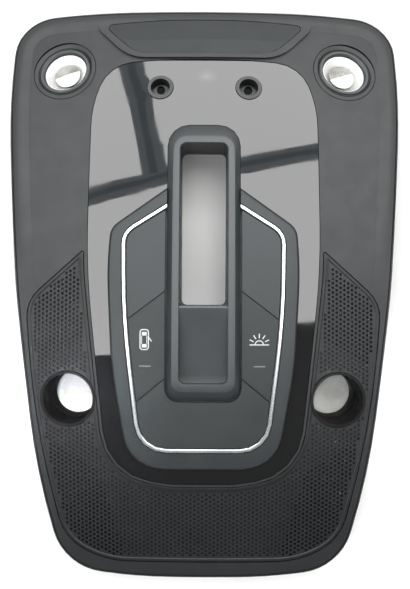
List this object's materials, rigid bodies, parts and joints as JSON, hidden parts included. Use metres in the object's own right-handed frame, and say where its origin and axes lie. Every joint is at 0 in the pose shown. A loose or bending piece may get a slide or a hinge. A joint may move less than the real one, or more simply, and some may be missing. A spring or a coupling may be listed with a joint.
{
  "type": "car dome light",
  "caption": "Domed overhead console with corner reading lamps, glossy centre panel, push-button switch unit round a slotted rail, and a perforated inlay with open sockets.",
  "frame": {"origin": "centre of the bounding box, on the back plane that the rear cover and the socket tubes end on", "axes": "+Z out of the visible face, +Y towards the front of the car (the lamp end), +X to the right seen from the face with the lamps at the top"},
  "size_m": [0.2048, 0.297, 0.0638],
  "materials": {
    "bezel_plastic": "fine moulded texture",
    "grille_plastic": "matt, fine moulded texture",
    "window_plastic": "smooth satin, smoked",
    "diffuser_plastic": "translucent white",
    "piano_black": "polished black",
    "collar_plastic": "fine moulded texture",
    "switch_plastic": "soft-touch paint",
    "cover_plastic": "soft-touch paint",
    "button_plastic": "soft-touch paint",
    "bright_trim": "satin chrome plating on plastic",
    "clear_plastic": "clear polycarbonate",
    "switch_body": "as moulded",
    "ring_plastic": "satin",
    "reflector": "white, smooth",
    "board_laminate": "green solder mask",
    "housing_plastic": "as moulded",
    "socket_plastic": "semi-gloss black",
    "connector_plastic": "natural nylon",
    "spring_steel": "zinc plated",
    "screw_steel": "zinc plated"
  },
  "bodies": {
    "console": {"bezel": "bezel_plastic", "grille_inlay": "grille_plastic", "indicator_window": "window_plastic", "indicator_diffuser": "diffuser_plastic", "gloss_panel": "piano_black", "screw_collar_left": "collar_plastic", "screw_collar_right": "collar_plastic", "switch_surround": "switch_plastic", "trim_strip": "bright_trim", "upper_blank_left": "switch_plastic", "upper_blank_right": "switch_plastic", "lower_cover": "cover_plastic", "centre_rail": "switch_plastic", "door_light_switch": "switch_body", "interior_light_switch": "switch_body", "lamp_ring_left": "ring_plastic", "lamp_ring_right": "ring_plastic", "lamp_reflector_left": "reflector", "lamp_reflector_right": "reflector", "lamp_lens_left": "clear_plastic", "lamp_lens_right": "clear_plastic", "lamp_board_left": "board_laminate", "lamp_board_right": "board_laminate", "lamp_housing_left": "housing_plastic", "lamp_housing_right": "housing_plastic", "socket_left": "socket_plastic", "socket_right": "socket_plastic", "microphone_left": "switch_body", "microphone_right": "switch_body", "carrier": "housing_plastic", "deck_left": "housing_plastic", "deck_right": "housing_plastic", "deck_middle": "housing_plastic", "deck_nose_left": "housing_plastic", "deck_nose_middle": "housing_plastic", "deck_nose_right": "housing_plastic", "screw_cup_left": "housing_plastic", "screw_cup_right": "housing_plastic", "housing_wall": "housing_plastic", "slot_chute": "housing_plastic", "circuit_board": "board_laminate", "main_connector": "connector_plastic", "rear_cover": "housing_plastic", "roof_clips": "spring_steel", "bezel_screws": "screw_steel", "board_screws": "screw_steel", "cover_screws": "screw_steel"},
    "door_light_button": {"door_light_button": "button_plastic", "door_light_guide": "clear_plastic"},
    "interior_light_button": {"interior_light_button": "button_plastic", "interior_light_guide": "clear_plastic"}
  },
  "joints": [
    {"name": "door_light_button_press", "type": "slide", "parent": "console", "child": "door_light_button", "axis": [0, 0, -1], "range_m": [0, 0.0008], "stiffness_N_per_m": 3200, "springref_m": -0.0005},
    {"name": "interior_light_button_press", "type": "slide", "parent": "console", "child": "interior_light_button", "axis": [0, 0, -1], "range_m": [0, 0.0008], "stiffness_N_per_m": 3200, "springref_m": -0.0005}
  ]
}
